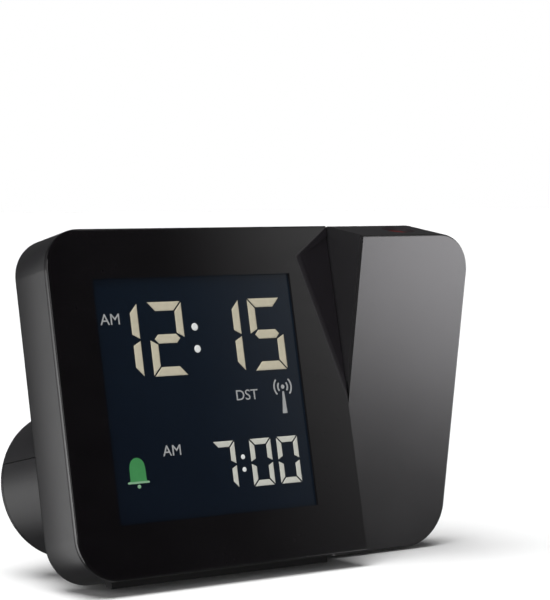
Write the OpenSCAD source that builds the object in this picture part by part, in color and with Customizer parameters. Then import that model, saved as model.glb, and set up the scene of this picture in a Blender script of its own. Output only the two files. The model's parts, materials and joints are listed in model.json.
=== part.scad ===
// Projection alarm clock: a slim case that leans back on a round-ended battery housing, with a
// projector arm on its right side that swivels on a hollow friction hub.
// Sizes are in millimetres. The model stands on Z = 0, its front looks along -Y, +X is to the right.
//
// Every piece is drawn in the upright frame of the case: X runs from the left edge to the right,
// Y runs from the front face into the depth, Z runs up the face from its bottom edge.
// on_case() leans that frame back, and on_arm() also tilts it about the swivel.
// In names and arguments u, t and w are a place along the width, the depth and the face.

/* [Case] */
// Width of the display case, up to the swivel gap
body_w = 94.1; // [92:0.1:120]
// Height of the case and of the projector arm, along the leaning face
slab_h = 93.8; // [90:0.1:110]
// Thickness of the case and of the arm
slab_t = 18; // [17.5:0.5:22]
// Angle by which the case leans back, degrees
lean = 12; // [8:1:16]
// Radius of the case's upper outer corner
corner_top = 10.8; // [6:0.1:14]
// Radius of the case's lower outer corner
corner_bottom = 12; // [6:0.5:15]
// Thickness of the front plates at their rims
front_t = 1.4; // [1.2:0.1:1.6]
// Thickness of the front plates inside their rims, where they plug into the rear shells
plate_t = 2; // [1.8:0.1:2.4]
// Wall thickness of the housings
wall = 1.8; // [1.4:0.1:2.2]
// Rounding along the front edges
edge_round = 0.5; // [0.2:0.1:0.8]
// Rounding along the rear edges
back_round = 1.4; // [0.6:0.1:1.5]
// Bevel on each side of the parting lines
seam = 0.25; // [0.1:0.05:0.4]

/* [Facet] */
// Width of the sloped facet at its upper end
facet_w = 9.6; // [6:0.1:11]
// Distance from the top of the case down to the facet's outer point
facet_drop = 8.8; // [5:0.1:14]
// Distance from the top of the case down to the facet, beside the swivel gap
facet_rim = 3; // [1:0.1:4]
// Height of the facet's lower point up the face
facet_low = 51; // [40:0.5:60]
// Depth of the facet at its upper end, beside the swivel gap
facet_depth = 0.5; // [0.3:0.1:1.7]

/* [Display] */
// Border to the left of the display window
window_left = 13.5; // [12:0.1:16]
// Border between the display window and the swivel gap
window_right = 15.2; // [14:0.1:18]
// Border below the display window
window_low = 14.3; // [12.5:0.1:18]
// Border above the display window
window_high = 13.6; // [12.5:0.1:18]
// Depth of the window pane behind the front face
window_recess = 0.8; // [0.4:0.1:0.9]
// Thickness of the window pane
pane_t = 1.1; // [0.8:0.1:1.2]
// Thickness of the liquid crystal panel
lcd_t = 2.4; // [1.8:0.1:2.8]
// Thickness of the diffuser sheet
diffuser_t = 0.5; // [0.3:0.1:0.6]
// Thickness of the light guide
guide_t = 2.4; // [2:0.1:2.6]

/* [Projector arm] */
// Width of the projector arm
arm_w = 40; // [38:0.5:50]
// Gap between the case and the arm
hinge_gap = 0.4; // [0.3:0.1:1]
// Height of the swivel axis up the face
pivot_h = 45; // [39:0.5:46]
// Forward tilt of the arm against the case, degrees
arm_tilt = 20; // [0:1:30]
// Radius of the arm's upper outer corner
arm_corner_top = 11.6; // [6:0.1:13]
// Radius of the arm's lower outer corner
arm_corner_bottom = 12.2; // [6:0.1:13]
// Radius of the swivel hub
hub_r = 4.4; // [4:0.1:4.6]
// Bore radius of the hub
hub_bore_r = 2.8; // [2.4:0.1:3]
// Radial running clearance of the hub in its bearing
hub_play = 0.06; // [0.03:0.01:0.1]
// Radius of the opening over the lens
lens_open_r = 4.1; // [3.5:0.1:4.6]
// Radius of the sliding lens barrel
barrel_r = 5.8; // [5.4:0.1:6]
// Radial running clearance of the lens barrel
barrel_play = 0.06; // [0.03:0.01:0.1]
// Travel of the lens barrel to each side of rest
focus_travel = 1.2; // [0.6:0.1:1.5]
// Radius of the focus wheel
wheel_r = 7; // [6.5:0.1:7.4]
// Number of grips round the focus wheel
wheel_grips = 36; // [24:1:48]

/* [Battery housing] */
// Height of the round-ended battery housing
hump_h = 41.2; // [40:0.2:46]
// Depth of the battery housing behind the case
hump_t = 24; // [23:0.5:30]
// Height of the housing's lower side up the case
hump_low = 8; // [7:0.2:9]
// Inset of the housing from both sides of the case
hump_inset = 2; // [1:0.5:4]
// Height of the battery cover's parting line above the housing's lower side
cover_line = 27.6; // [26:0.2:29]
// Radius of a battery cell
cell_r = 7.1; // [6.8:0.1:7.2]
// Length of a battery cell without its nub
cell_len = 49; // [48:0.5:50]

/* [Keys] */
// Width of a rear key
key_w = 9.4; // [7:0.2:10]
// Height of a rear key
key_h = 5.4; // [4:0.2:6.4]
// Distance that a key stands out of the rear face
key_proud = 1.1; // [0.6:0.1:1.4]
// Travel of a key
key_travel = 0.6; // [0.3:0.1:0.7]
// Clearance round keys and switch knobs
key_gap = 0.25; // [0.15:0.05:0.35]
// Distance between neighbouring keys
key_pitch = 15.2; // [13.5:0.1:15.6]
// Distance from the top of the case down to the row of keys
key_drop = 13.5; // [13:0.5:15]
// Travel of the slide switches
switch_travel = 4; // [3:0.5:5]

/* [Feet] */
// Height of the rubber foot strip at the case's lower rear edge
foot_h = 0.8; // [0.6:0.1:1.4]
// Thickness of the rubber pads under the battery housing
pad_h = 1; // [0.6:0.1:1.5]

/* [Hidden] */
$fn = 64;
eps = 0.01;
weld = 0.5;
over = 1;
arc_steps = 4;

// places along the width, and the swivel axis
overall_w = body_w + hinge_gap + arm_w;
body_mid = body_w / 2;
arm_u = body_w + hinge_gap;
arm_mid = arm_u + arm_w / 2;
pivot_t = slab_t / 2;

// the outlines are drawn past the swivel gap by this much and cut off there, so that the edges are sharp
gap_spare = 2.5;
inner_corner = 0.4;
plug_gap = 0.15;

// battery housing
hump_back = slab_t + hump_t;
hump_top = hump_low + hump_h;
hump_round = 1.6;

// how the case stands: its lower rear edge is foot_h above the table
face_lift = slab_t * sin(lean) + foot_h;
reach_front = edge_round * (cos(lean) + sin(lean) - 1);
reach_back = (hump_back - hump_round) * cos(lean) + (hump_top - hump_round) * sin(lean) + hump_round;
case_y = (reach_front + reach_back) / 2;
// the table plane as a height up the face, at depth t, or a plane that lies above the table
function table_w(t, above = 0) = (t * sin(lean) - face_lift + above) / cos(lean);

// display stack, from the pane back to the main board
window_w = body_w - window_left - window_right;
window_h = slab_h - window_low - window_high;
window_u = window_left + window_w / 2;
window_mid = window_low + window_h / 2;
pane_lap = 1.2;
pocket_gap = 0.15;
pane_back = window_recess + pane_t;
lcd_back = pane_back + lcd_t;
diffuser_back = lcd_back + diffuser_t;
guide_back = diffuser_back + guide_t;
stack_lap = 1;
stack_gap = 0.2;
stack_w = window_w + 2 * stack_lap;
stack_h = window_h + 2 * stack_lap;
frame_wall = 1.8;
frame_lip = 1.6;
frame_ledge = 5;
frame_back = guide_back + frame_lip;
strip_t = 1.8;
strip_zone = 3.2;
strip_end = 7;
board_t = 1.6;
board_back = frame_back + board_t;
board_left = 9.5;
hinge_room = 11.5;
board_right = body_w - hinge_room;
board_low = 9;
board_top_gap = 8;
board_high = slab_h - board_top_gap;
board_screw_r = 0.9;
board_head_r = 1.8;
board_head_h = 0.9;
board_screw_in = 1.8;
board_screw_low = 9.5;
board_screw_rise = 7.8;

// inside of the housings, and the screws that close them
inner_back = slab_t - wall;
hinge_wall = 2;
boss_r = 2.8;
pilot_r = 1.25;
screw_r = 1.2;
screw_hole_r = 1.5;
head_r = 2.3;
head_h = 1.4;
head_sink = 1.7;
head_hole_r = head_r + 0.2;
boss_gap = 0.1;
boss_split = plate_t + 0.45 * (inner_back - plate_t);
boss_side = 9;
boss_top = 6;
boss_foot = wall + boss_r + 0.2;
boss_foot_side = 18;
case_bosses = [[boss_side, slab_h - boss_top], [body_w - boss_side, slab_h - boss_top],
    [boss_foot_side, boss_foot], [body_w - boss_foot_side, boss_foot]];
arm_boss = 7.4;
arm_bosses = [for (u = [arm_u + arm_boss, overall_w - arm_boss], w = [arm_boss, slab_h - arm_boss]) [u, w]];

// keys and switches; places are [along the width, up the face]
key_row = slab_h - key_drop;
switch_drop = 17;
switch_row = key_row - switch_drop;
key_places = [for (i = [-2:2]) [body_mid + i * key_pitch, key_row]];
key_corner = 1.4;
key_flange = 1.1;
flange_t = 0.8;
flange_gap = 0.15;
flange_back = inner_back - flange_gap;
stem_r = 1.6;
stem_len = 1.35;
stop_gap = 0.1;
tact_w = 6;
tact_h = 2.6;
plunger_h = 0.6;
knob_w = 4;
knob_h = 3;
knob_proud = 1.2;
knob_corner = 0.4;
slider_lap = 2.4;
slider_side = 1.2;
slider_t = 1;
slider_base = [12, 6];
buzzer_side = 25.25;
buzzer_u = body_mid - buzzer_side;
buzzer_r = 8.5;
buzzer_t = 3;
buzzer_rim = 1.2;
inlet_side = 27.75;
inlet_u = body_mid + inlet_side;
inlet_r = 3.1;
inlet_nose_r = 4;
inlet_body_w = 9;
inlet_pin_r = 1;
inlet_sink = 0.4;
pin_hole_r = 0.8;
reset_side = 12.75;
reset_place = [body_mid + reset_side, switch_row];
board_screws_at = [for (u = [window_left + board_screw_in, window_left + window_w - board_screw_in],
    w = [window_low + board_screw_low, switch_row + board_screw_rise]) [u, w]];

// other pieces on the main board
chip_w = 42;
chip_size = 16;
chip_t = 1.4;
chip_pins = 5;
pin_pitch = 1.3;
crystal_side = 16;
crystal_u = body_mid + crystal_side;
crystal_w = [38, 46];
crystal_r = 1.5;
touch_side = 20;
touch_t = [6, 15];
touch_leg = 4;
touch_thick = 0.5;

// the antenna stands along the left wall
antenna_u = 5.3;
antenna_t = inner_back - 3;
antenna_w = [22, 72];
rod_r = 2;
coil_r = 2.7;
coil_len = 20;
saddle_side = 4;
saddle_t = 2.4;

// battery compartment
cover_gap = 0.2;
cover_t = 2.2;
cover_face = hump_back - cover_t;
cover_split = hump_low + cover_line;
cell_gap = 0.3;
cell_t = cover_face - cell_gap - cell_r;
cell_w = hump_low + wall + cell_gap + cell_r;
cell_step = 2 * cell_r + 0.5;
nub_r = 2.75;
nub_len = 1.5;
contact_t = 0.4;
contact_size = 9;
spring_len = 3;
end_wall = 1.6;
cradle_t = 2;
cradle_side = 8;
bay_len = cell_len + nub_len + spring_len + 2 * contact_t;
bay_left = body_mid - bay_len / 2;
bay_right = bay_left + bay_len;
rib_t = 1;
rib_reach = 2;
tongue_w = 8;
tongue_t = 1.2;
tongue_skin = 0.3;
tongue_reach = 1.5;
tongue_side = 15;
tongue_places = [body_mid - tongue_side, body_mid + tongue_side];
grip_len = 16;
grip_count = 4;
grip_step = 2.4;
grip_drop = 9;
grip_size = 1;

// conical contact springs
coil_turns = 2.5;
coil_sides = 6;
coil_steps = 30;
wire_r = 0.35;
coil_foot_r = 3.6;
coil_tip_r = 1.9;

// feet
strip_left = 17;
strip_right = 4.5;
strip_depth = 3.2;
rail_side = boss_foot_side + 5;
rail_depth = 7;
rail_back = cover_face - cover_gap;
pad_len = 12;
pad_inset = 0.5;

// swivel
bearing_r = hub_r + hub_play;
bearing_wall = 1.4;
bearing_len = 6;
bearing_end = body_w - bearing_len;
washer_t = 0.6;
washer_gap = 0.05;
ring_t = 0.8;
ring_gap = 0.1;
ring_r = hub_r + 1.4;
ring_mouth = 3;
groove_depth = 0.6;
groove_u = bearing_end - washer_t - 2 * washer_gap - ring_t;
hub_tail = 1.2;
hub_end = groove_u - hub_tail;
hub_flange_r = 6.2;
hub_flange_t = 1.5;
lead_r = 1.3;
lead_gap = 0.2;
lead_bend = 3;
lead_side = 7;
lead_u = arm_u + wall + lead_side;

// projector inside the arm
arm_wall_top = slab_h - wall;
tube_wall = 0.8;
tube_r = barrel_r + barrel_play + tube_wall;
tube_slot = 4.6;
barrel_gap = 0.3;
barrel_top = arm_wall_top - focus_travel - barrel_gap;
barrel_len = 20;
barrel_wall = 1.2;
lens_seat = 1.6;
tube_drop = 5;
tube_top = barrel_top - tube_drop;
tube_len = 25.7;
tube_low = tube_top - tube_len;
slide_w = 12;
slide_t = 1.8;
optics_len = 21.7;
lamp_w = tube_low - slide_t - optics_len;
lamp_r = 2.5;
lamp_h = 8.6;
optics_w = 15;
optics_gap = 0.3;
condenser_r = 5.6;
condenser_t = 1.4;
condenser_dome = 9;
condenser_rise = condenser_dome - sqrt(condenser_dome * condenser_dome - condenser_r * condenser_r);
condenser_h = condenser_t + condenser_rise;
condenser_gap = 4.35;
condenser_w = tube_low - slide_t - condenser_gap - condenser_h;
lens_r = barrel_r - 1.05;
lens_rim = 0.7;
lens_dome = 8;

// the arm's board, with its key and its slide switch
arm_board_back = flange_back - flange_t - stem_len - key_travel - stop_gap - plunger_h - tact_h;
arm_board_w = [12, 20.5];
arm_board_gap = 0.3;
ledge_w = 2.5;
ledge_t = 1.5;
post_side = 15;
arm_key_side = 7.4;
arm_key_w = 16.2;
flip_place = [arm_mid - arm_key_side, arm_key_w];
power_place = [arm_mid + arm_key_side, arm_key_w];

// focusing: the wheel's pinion moves a rack on the lens barrel
gear_module = 0.8;
gear_teeth = 9;
gear_r = gear_module * gear_teeth / 2;
gear_pitch = PI * gear_module;
gear_tip = gear_r + 0.8 * gear_module;
gear_len = 2.6;
wheel_t = 4;
wheel_proud = 1.6;
wheel_gap = 0.3;
axle_r = 1.1;
axle_play = 0.06;
bracket_t = 1.8;
bracket_w = 4;
focus_t = slab_t + wheel_proud - wheel_r;
focus_drop = 19.5;
focus_w = slab_h - focus_drop;
bracket_u = arm_mid + tube_r + wheel_gap;
gear_u = bracket_u + bracket_t + wheel_gap;
wheel_u = gear_u + gear_len;
bracket_end = wheel_u + wheel_t + wheel_gap;
wheel_slot = sqrt(wheel_r * wheel_r - pow(inner_back - focus_t, 2)) + 0.6;
rack_t = focus_t - gear_r;
rack_half = 2 * gear_pitch + 0.2;
rack_back = 2;
rack_body = 2;

module on_case() {
    translate([-overall_w / 2, -case_y, face_lift]) rotate([-lean, 0, 0]) children();
}

module on_arm() {
    on_case() translate([0, pivot_t, pivot_h]) rotate([arm_tilt, 0, 0])
        translate([0, -pivot_t, -pivot_h]) children();
}

// ---- shapes used by many pieces

function arc(x, y, r, a0, a1) = [for (i = [0:arc_steps])
    let (a = a0 + (a1 - a0) * i / arc_steps) [x + r * cos(a), y + r * sin(a)]];

// half section of a plate: reach outwards along x, thickness t along y, front and rear edges rounded
function edge(reach, t, front, back) = concat(
    [[0, 0]],
    front > 0 ? arc(reach - front, front, front, -90, 0) : [[reach, 0]],
    back > 0 ? arc(reach - back, t - back, back, 0, 90) : [[reach, t]],
    [[0, t]]);

// an upright plate w wide, h high and t thick; r holds its corner radii, lower left, upper left,
// lower right, upper right; its front and rear edges are rounded
module rounded_slab(w, h, t, r, front = 0, back = 0) {
    corners = [[r[0], r[0], r[0]], [r[1], h - r[1], r[1]], [w - r[2], r[2], r[2]],
        [w - r[3], h - r[3], r[3]]];
    for (c = corners)
        translate([c[0], 0, c[1]]) rotate([-90, 0, 0]) rotate_extrude() polygon(edge(c[2], t, front, back));
    translate([r[0], 0, h / 2]) rotate([0, 90, 0])
        linear_extrude(w - r[0] - r[2]) polygon(edge(h / 2, t, front, back));
    translate([w - r[3], 0, h / 2]) rotate([0, -90, 0])
        linear_extrude(w - r[1] - r[3]) polygon(edge(h / 2, t, front, back));
    if (h - r[0] - r[1] > eps) translate([w / 2, 0, r[0]]) mirror([1, 0, 0])
        linear_extrude(h - r[0] - r[1]) polygon(edge(w / 2, t, front, back));
    if (h - r[2] - r[3] > eps) translate([w / 2, 0, r[2]])
        linear_extrude(h - r[2] - r[3]) polygon(edge(w / 2, t, front, back));
}

// a stretch of the case's outline from depth t0 to t1, with plain sharp edges beside the swivel gap
module case_outline(t0, t1, front, back) {
    intersection() {
        translate([0, t0, 0]) rounded_slab(body_w + gap_spare, slab_h, t1 - t0,
            [corner_bottom, corner_top, gap_spare, gap_spare], front, back);
        block(0, body_w, t0, t1, 0, slab_h);
    }
}

module arm_outline(t0, t1, front, back) {
    intersection() {
        translate([arm_u - gap_spare, t0, 0]) rounded_slab(arm_w + gap_spare, slab_h, t1 - t0,
            [gap_spare, gap_spare, arm_corner_bottom, arm_corner_top], front, back);
        block(arm_u, overall_w, t0, t1, 0, slab_h);
    }
}

// the room inside the same outlines from depth t0 to t1, or a plug for it that is smaller by a gap
module case_room(t0, t1, gap = 0) {
    in = wall + gap;
    translate([in, t0, in]) rounded_slab(body_w - 2 * in, slab_h - 2 * in, t1 - t0,
        [corner_bottom - in, corner_top - in, inner_corner, inner_corner]);
}

module arm_room(t0, t1, gap = 0) {
    in = wall + gap;
    translate([arm_u + in, t0, in]) rounded_slab(arm_w - 2 * in, slab_h - 2 * in, t1 - t0,
        [inner_corner, inner_corner, arm_corner_bottom - in, arm_corner_top - in]);
}

module hump_slab(t0, t1, inset = 0, back = 0) {
    r = hump_h / 2 - inset;
    translate([hump_inset + inset, t0, hump_low + inset])
        rounded_slab(body_w - 2 * hump_inset - 2 * inset, 2 * r, t1 - t0, [r, r, r, r], 0, back);
}

module rod_x(u0, u1, t, w, r) { translate([u0, t, w]) rotate([0, 90, 0]) cylinder(r = r, h = u1 - u0); }

module rod_y(u, w, t0, t1, r) { translate([u, t0, w]) rotate([-90, 0, 0]) cylinder(r = r, h = t1 - t0); }

module rod_z(u, t, w0, w1, r) { translate([u, t, w0]) cylinder(r = r, h = w1 - w0); }

// a block given by its limits along u, t and w
module block(u0, u1, t0, t1, w0, w1) { translate([u0, t0, w0]) cube([u1 - u0, t1 - t0, w1 - w0]); }

// a block centred on u and w
module pad(u, w, size_u, size_w, t0, t1) {
    block(u - size_u / 2, u + size_u / 2, t0, t1, w - size_w / 2, w + size_w / 2);
}

// a thread-forming screw with a pan head and a cross recess, entering from the rear
module screw(place, head_t, tip_t) {
    slot = 0.6;
    arms = 2.6;
    difference() {
        union() {
            rod_y(place[0], place[1], head_t - head_h, head_t, head_r);
            rod_y(place[0], place[1], tip_t, head_t - head_h, screw_r);
        }
        pad(place[0], place[1], arms, slot, head_t - 0.8, head_t + over);
        pad(place[0], place[1], slot, arms, head_t - 0.8, head_t + over);
    }
}

// boss of a front plate, with the pilot bore that a screw cuts into
module front_boss(place) {
    difference() {
        rod_y(place[0], place[1], plate_t - 0.3, boss_split - boss_gap, boss_r);
        rod_y(place[0], place[1], plate_t + 0.6, boss_split + over, pilot_r);
    }
}

// boss of a rear shell, down to the front plate's boss
module rear_boss(place) {
    difference() {
        rod_y(place[0], place[1], boss_split, inner_back + 0.3, boss_r);
        screw_bore(place);
    }
}

module screw_bore(place) {
    rod_y(place[0], place[1], slab_t - head_sink, slab_t + over, head_hole_r);
    rod_y(place[0], place[1], boss_split - over, slab_t + over, screw_hole_r);
}

// opening for a key or a knob through a rear wall
module key_hole(place, size_u, size_w, corner) {
    translate([place[0] - size_u / 2 - key_gap, inner_back - over, place[1] - size_w / 2 - key_gap])
        rounded_slab(size_u + 2 * key_gap, size_w + 2 * key_gap, wall + 2 * over,
            [corner, corner, corner, corner]);
}

// a key: cap outside, retaining flange inside, stem down to the plunger of its switch
module key(place, board) {
    flange_front = flange_back - flange_t;
    r = key_corner - key_gap;
    translate([place[0] - key_w / 2, flange_back, place[1] - key_h / 2])
        rounded_slab(key_w, key_h, slab_t + key_proud - flange_back, [r, r, r, r], 0, 0.5);
    pad(place[0], place[1], key_w + 2 * key_flange, key_h + 2 * key_flange, flange_front, flange_back);
    rod_y(place[0], place[1], board + tact_h + plunger_h + key_travel + stop_gap, flange_front, stem_r);
}

module tact_switch(place, board) {
    pad(place[0], place[1], tact_w, tact_w, board, board + tact_h);
    rod_y(place[0], place[1], board + tact_h, board + tact_h + plunger_h, stem_r);
}

// a slide switch's knob, at the left end of its slot, with the plate that keeps it behind the wall
module slider(place) {
    u = place[0] - switch_travel / 2;
    top = slab_t + knob_proud;
    difference() {
        pad(u, place[1], knob_w, knob_h, flange_back, top);
        for (i = [-1:1]) pad(u + i * knob_w * 0.3, place[1], 0.5, knob_h + over, top - 0.4, top + over);
    }
    block(u - knob_w / 2 - slider_lap, u + knob_w / 2 + slider_lap + switch_travel, flange_back - slider_t,
        flange_back, place[1] - knob_h / 2 - slider_side, place[1] + knob_h / 2 + slider_side);
}

// ---- the display case

// the facet is a tilted plane that starts on the line from its outer point down to its lower point
module facet_cut() {
    turn = atan(facet_w / (slab_h - facet_drop - facet_low));
    top = slab_h - facet_rim;
    slope = atan(facet_depth / ((top - facet_low) * sin(turn)));
    far = 2 * slab_h;
    intersection() {
        translate([body_w, 0, facet_low]) rotate([0, -turn, 0]) rotate([0, 0, slope])
            block(0, far, -far, 0, -far, far);
        translate([0, front_t, 0]) rotate([90, 0, 0]) linear_extrude(front_t + over)
            polygon([[body_w, facet_low], [body_w - facet_w, slab_h - facet_drop], [body_w, top],
                [body_w + over, top], [body_w + over, facet_low]]);
    }
}

module front_plate() {
    lap = 2 * (pane_lap + pocket_gap);
    color([0.03, 0.03, 0.035]) on_case() {
        difference() {
            union() {
                case_outline(0, front_t, edge_round, seam);
                difference() {
                    case_room(front_t - weld, plate_t, plug_gap);
                    block(body_w - hinge_wall - plug_gap, body_w, 0, slab_t, 0, slab_h);
                }
            }
            facet_cut();
            pad(window_u, window_mid, window_w, window_h, -over, plate_t + over);
            pad(window_u, window_mid, window_w + lap, window_h + lap, window_recess, plate_t + over);
        }
        for (b = case_bosses) front_boss(b);
    }
}

module display_window() {
    color([0.05, 0.06, 0.1]) on_case()
        pad(window_u, window_mid, window_w + 2 * pane_lap, window_h + 2 * pane_lap, window_recess, pane_back);
}

// two glass plates; the rear one is larger and carries the contact edges
module lcd_panel() {
    split = pane_back + lcd_t / 2;
    color([0.04, 0.05, 0.09]) on_case() {
        pad(window_u, window_mid, stack_w, stack_h, split, lcd_back);
        pad(window_u, window_mid, stack_w, stack_h - strip_zone, pane_back, split);
    }
}

module diffuser_sheet() {
    color("white") on_case()
        pad(window_u, window_mid, stack_w, stack_h - 2 * strip_zone, lcd_back, diffuser_back);
}

module light_guide() {
    color([0.85, 0.9, 0.92]) on_case()
        pad(window_u, window_mid, stack_w, stack_h - 2 * strip_zone, diffuser_back, guide_back);
}

module display_frame() {
    inner_w = stack_w + 2 * stack_gap;
    inner_h = stack_h + 2 * stack_gap;
    color([0.9, 0.9, 0.88]) on_case() difference() {
        pad(window_u, window_mid, inner_w + 2 * frame_wall, inner_h + 2 * frame_wall, plate_t, frame_back);
        pad(window_u, window_mid, inner_w, inner_h, plate_t - over, guide_back);
        pad(window_u, window_mid, inner_w - 2 * frame_ledge, inner_h - 1,
            guide_back - over, frame_back + over);
        for (b = board_screws_at)
            rod_y(b[0], b[1], guide_back - over, frame_back + over, board_screw_r + 0.05);
    }
}

module contact_strips() {
    off = (stack_h - strip_zone) / 2;
    color([0.85, 0.45, 0.5]) on_case() for (s = [-1, 1])
        pad(window_u, window_mid + s * off, stack_w - 2 * strip_end, strip_t, lcd_back, frame_back);
}

module main_board() {
    color([0.05, 0.3, 0.15]) on_case() difference() {
        block(board_left, board_right, frame_back, board_back, board_low, board_high);
        for (b = case_bosses) rod_y(b[0], b[1], frame_back - over, board_back + over, boss_r + 0.5);
        for (b = board_screws_at)
            rod_y(b[0], b[1], frame_back - over, board_back + over, board_screw_r + 0.2);
    }
}

module board_screws() {
    color("silver") on_case() for (b = board_screws_at) {
        rod_y(b[0], b[1], guide_back + stack_gap, board_back, board_screw_r);
        rod_y(b[0], b[1], board_back, board_back + board_head_h, board_head_r);
    }
}

module control_chip() {
    color([0.05, 0.05, 0.05]) on_case() {
        pad(body_mid, chip_w, chip_size, chip_size, board_back, board_back + chip_t);
        for (s = [-1, 1], i = [-chip_pins:chip_pins])
            pad(body_mid + s * (chip_size + 1.5) / 2, chip_w + i * pin_pitch, 1.6, 0.5,
                board_back, board_back + 0.6);
    }
}

module quartz_crystal() {
    color("silver") on_case()
        rod_z(crystal_u, board_back + crystal_r + 0.05, crystal_w[0], crystal_w[1], crystal_r);
}

module tact_switches() {
    color([0.15, 0.15, 0.15]) on_case() {
        for (p = key_places) tact_switch(p, board_back);
        tact_switch(reset_place, board_back);
    }
}

// body of a slide switch, with the slot that its contact rides in
module slider_body(place, board) {
    top = flange_back - slider_t - 0.3;
    difference() {
        pad(place[0], place[1], slider_base[0], slider_base[1], board, top);
        pad(place[0], place[1], knob_w + switch_travel, 1.6, board + 1, top + over);
    }
}

module switch_base() {
    color([0.6, 0.6, 0.62]) on_case() slider_body([body_mid, switch_row], board_back);
}

module ferrite_rod() {
    color([0.2, 0.2, 0.2]) on_case() rod_z(antenna_u, antenna_t, antenna_w[0], antenna_w[1], rod_r);
}

module antenna_coil() {
    low = (antenna_w[0] + antenna_w[1] - coil_len) / 2;
    color([0.72, 0.35, 0.12]) on_case() difference() {
        rod_z(antenna_u, antenna_t, low, low + coil_len, coil_r);
        rod_z(antenna_u, antenna_t, low - over, low + coil_len + over, rod_r + 0.02);
    }
}

// two cradles of the rear shell hold the antenna
module saddles() {
    for (w = [antenna_w[0] + saddle_side, antenna_w[1] - saddle_side]) difference() {
        block(antenna_u - rod_r - 1, antenna_u + rod_r + 1, antenna_t, inner_back + weld,
            w - saddle_t / 2, w + saddle_t / 2);
        rod_z(antenna_u, antenna_t, w - saddle_t, w + saddle_t, rod_r + 0.03);
    }
}

// sensor plate for the touch key on top, with a leg down to the main board
module touch_plate() {
    under = slab_h - wall - touch_thick;
    leg_u = body_mid + key_pitch / 2;
    color([0.8, 0.6, 0.25]) on_case() {
        block(touch_side, body_w - touch_side, touch_t[0], touch_t[1], under, under + touch_thick);
        block(leg_u - touch_leg / 2, leg_u + touch_leg / 2, board_back, board_back + 1,
            board_high - touch_leg, under);
    }
}

module buzzer() {
    color([0.1, 0.1, 0.1]) on_case() difference() {
        rod_y(buzzer_u, switch_row, inner_back - buzzer_t, inner_back, buzzer_r);
        rod_y(buzzer_u, switch_row, inner_back - 1, inner_back + over, buzzer_r - buzzer_rim);
    }
}

module dc_inlet() {
    color([0.08, 0.08, 0.08]) on_case() {
        difference() {
            union() {
                pad(inlet_u, switch_row, inlet_body_w, inlet_body_w, board_back, inner_back);
                rod_y(inlet_u, switch_row, inner_back - weld, slab_t - inlet_sink, inlet_nose_r);
            }
            rod_y(inlet_u, switch_row, board_back + 1, slab_t + over, inlet_r);
        }
        rod_y(inlet_u, switch_row, board_back + weld, slab_t - inlet_sink - 1, inlet_pin_r);
    }
}

// half-round cradles that carry the cells, and the two end walls that hold the contacts
module battery_tray() {
    low = hump_low + wall - weld;
    high = cell_w + cell_step + cell_r;
    difference() {
        union() {
            for (u = [bay_left + cradle_side, body_mid, bay_right - cradle_side])
                block(u - cradle_t / 2, u + cradle_t / 2, inner_back + weld, cell_t, low, high);
            for (u = [bay_left - end_wall, bay_right])
                block(u, u + end_wall, inner_back + weld, cover_face - cell_gap, low, high);
        }
        for (i = [0, 1]) rod_x(bay_left, bay_right, cell_t, cell_w + i * cell_step, cell_r + cell_gap);
    }
}

// moulded rail under the battery housing, cut level for the rubber pads
module foot_rail() {
    difference() {
        block(rail_side, body_w - rail_side, rail_back - rail_depth, rail_back,
            -hump_low, hump_low + wall / 2);
        translate([0, 0, table_w(0, pad_h)]) rotate([lean, 0, 0])
            block(0, body_w, -over, 2 * hump_back, -hump_back, 0);
    }
}

module speaker_holes() {
    for (ring = [0:2], i = [0:max(ring * 6 - 1, 0)]) let (a = 360 * i / max(ring * 6, 1), r = ring * 2.5)
        rod_y(buzzer_u + r * cos(a), switch_row + r * sin(a), inner_back - over, slab_t + over, 0.7);
}

module bearing() {
    difference() {
        rod_x(bearing_end, body_w - weld, pivot_t, pivot_h, bearing_r + bearing_wall);
        rod_x(bearing_end - over, body_w + over, pivot_t, pivot_h, bearing_r);
    }
}

module rear_shell() {
    color([0.07, 0.07, 0.075]) on_case() {
        difference() {
            case_outline(front_t, slab_t, seam, back_round);
            difference() {
                case_room(front_t - over, inner_back);
                block(body_w - hinge_wall, body_w, 0, slab_t, 0, slab_h);
            }
            rod_x(bearing_end, body_w + over, pivot_t, pivot_h, bearing_r);
            for (p = key_places) key_hole(p, key_w, key_h, key_corner);
            key_hole([body_mid, switch_row], knob_w + switch_travel, knob_h, knob_corner);
            speaker_holes();
            rod_y(inlet_u, switch_row, inner_back - over, slab_t + over, inlet_nose_r + 0.1);
            rod_y(reset_place[0], reset_place[1], inner_back - over, slab_t + over, pin_hole_r);
            for (b = case_bosses) screw_bore(b);
            for (u = tongue_places) tongue(u, inner_back - over, key_gap);
        }
        bearing();
        for (b = case_bosses) rear_boss(b);
        saddles();
        difference() {
            hump_slab(slab_t - weld, cover_face - cover_gap);
            hump_slab(slab_t - over, cover_face + over, wall);
            block(0, body_w, slab_t - over, hump_back, cover_split, slab_h);
        }
        battery_tray();
        foot_rail();
    }
}

module case_screws() {
    color("silver") on_case() for (b = case_bosses) screw(b, slab_t - head_sink + head_h, plate_t + 1.2);
}

module battery_cells() {
    color([0.75, 0.6, 0.3]) on_case() for (i = [0, 1]) {
        w = cell_w + i * cell_step;
        start = bay_left + contact_t + (i == 0 ? spring_len : nub_len);
        nub_start = i == 0 ? start + cell_len : start - nub_len;
        rod_x(start, start + cell_len, cell_t, w, cell_r);
        rod_x(nub_start, nub_start + nub_len, cell_t, w, nub_r);
    }
}

module contact(u, w) {
    half = contact_size / 2;
    block(u, u + contact_t, cell_t - half, cell_t + half, w - half, w + half);
}

// flat contacts against the end walls; the right one joins both cells
module contact_plates() {
    right = bay_right - contact_t;
    color("silver") on_case() {
        for (u = [bay_left, right], i = [0, 1]) contact(u, cell_w + i * cell_step);
        block(right, bay_right, cell_t - 2, cell_t + 2, cell_w + 4, cell_w + cell_step - 4);
    }
}

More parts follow.
